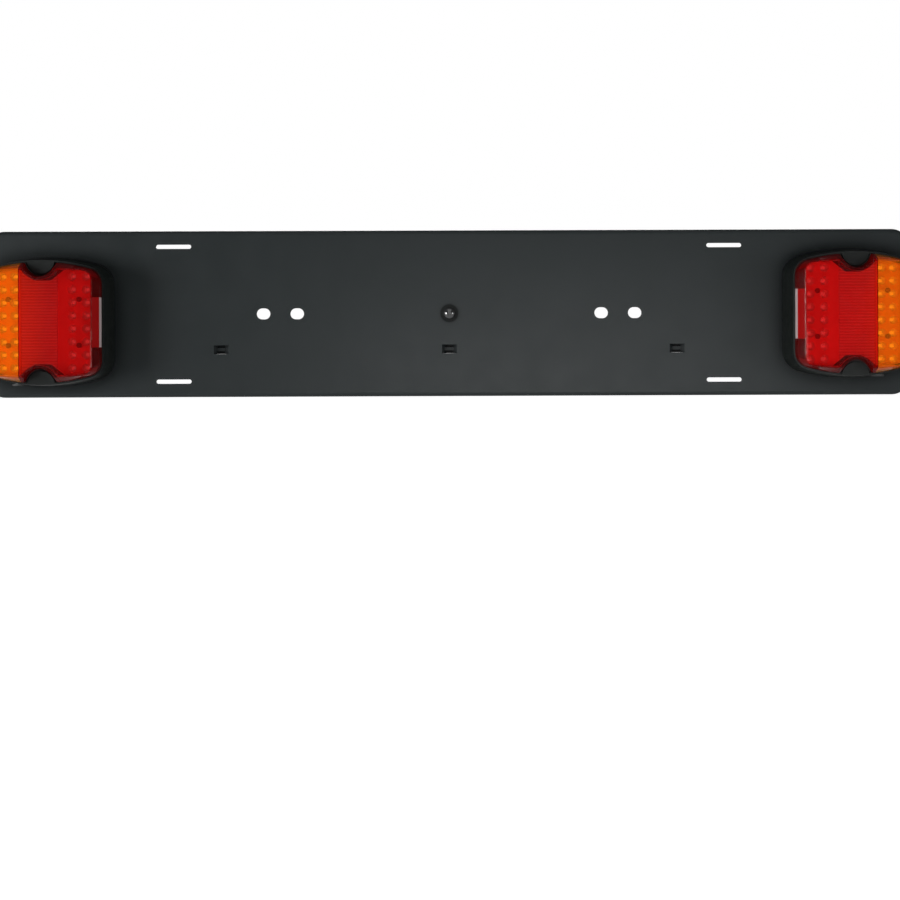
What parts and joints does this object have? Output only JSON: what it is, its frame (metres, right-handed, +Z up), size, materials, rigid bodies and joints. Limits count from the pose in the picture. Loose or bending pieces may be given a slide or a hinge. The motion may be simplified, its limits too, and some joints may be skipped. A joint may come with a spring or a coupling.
{
  "type": "trailer lighting board",
  "caption": "Long pressed black steel board with strap slots, fixing slots and a red and amber battery lamp held by magnets near each end.",
  "frame": {"origin": "centre of the row of fixing slots, on the board's rear face", "axes": "+X along the board to the viewer's right, +Z up, -Y towards the viewer, out of the lamps' front"},
  "size_m": [0.78, 0.053, 0.14],
  "materials": {
    "board_steel": "satin black powder coat with a fine orange-peel grain",
    "screw_black": "gloss black",
    "shell_plastic": "matt black moulded plastic",
    "lens_red": "clear red moulded plastic, gloss",
    "lens_amber": "clear amber moulded plastic, gloss",
    "lens_clear": "clear moulded plastic, gloss",
    "tray_white": "white moulded plastic",
    "board_green": "green circuit board",
    "light_red": "red light, gloss",
    "light_amber": "amber light, gloss",
    "light_white": "white light, gloss",
    "zinc_steel": "zinc plated steel",
    "magnet_plate": "nickel plated magnet",
    "battery_wrap": "blue shrink wrap",
    "socket_plastic": "black moulded plastic",
    "black_rubber": "matt black rubber"
  },
  "bodies": {
    "root": {"mounting_board": "board_steel", "centre_screw": "screw_black", "centre_washer": "black_rubber", "centre_nut": "zinc_steel", "left_housing": "shell_plastic", "left_lens_red": "lens_red", "left_lens_amber": "lens_amber", "left_plate_window": "lens_clear", "left_lens_seal": "black_rubber", "left_reflector_tray": "tray_white", "left_circuit_board": "board_green", "left_red_lights": "light_red", "left_amber_lights": "light_amber", "left_plate_lights": "light_white", "left_tray_screws": "zinc_steel", "left_battery": "battery_wrap", "left_receiver": "board_green", "left_rear_cover": "shell_plastic", "left_cover_screws": "zinc_steel", "left_magnets": "magnet_plate", "left_rubber_pad": "black_rubber", "left_charge_socket": "socket_plastic", "left_charge_bung": "black_rubber", "right_housing": "shell_plastic", "right_lens_red": "lens_red", "right_lens_amber": "lens_amber", "right_plate_window": "lens_clear", "right_lens_seal": "black_rubber", "right_reflector_tray": "tray_white", "right_circuit_board": "board_green", "right_red_lights": "light_red", "right_amber_lights": "light_amber", "right_plate_lights": "light_white", "right_tray_screws": "zinc_steel", "right_battery": "battery_wrap", "right_receiver": "board_green", "right_rear_cover": "shell_plastic", "right_cover_screws": "zinc_steel", "right_magnets": "magnet_plate", "right_rubber_pad": "black_rubber", "right_charge_socket": "socket_plastic", "right_charge_bung": "black_rubber"}
  },
  "joints": []
}
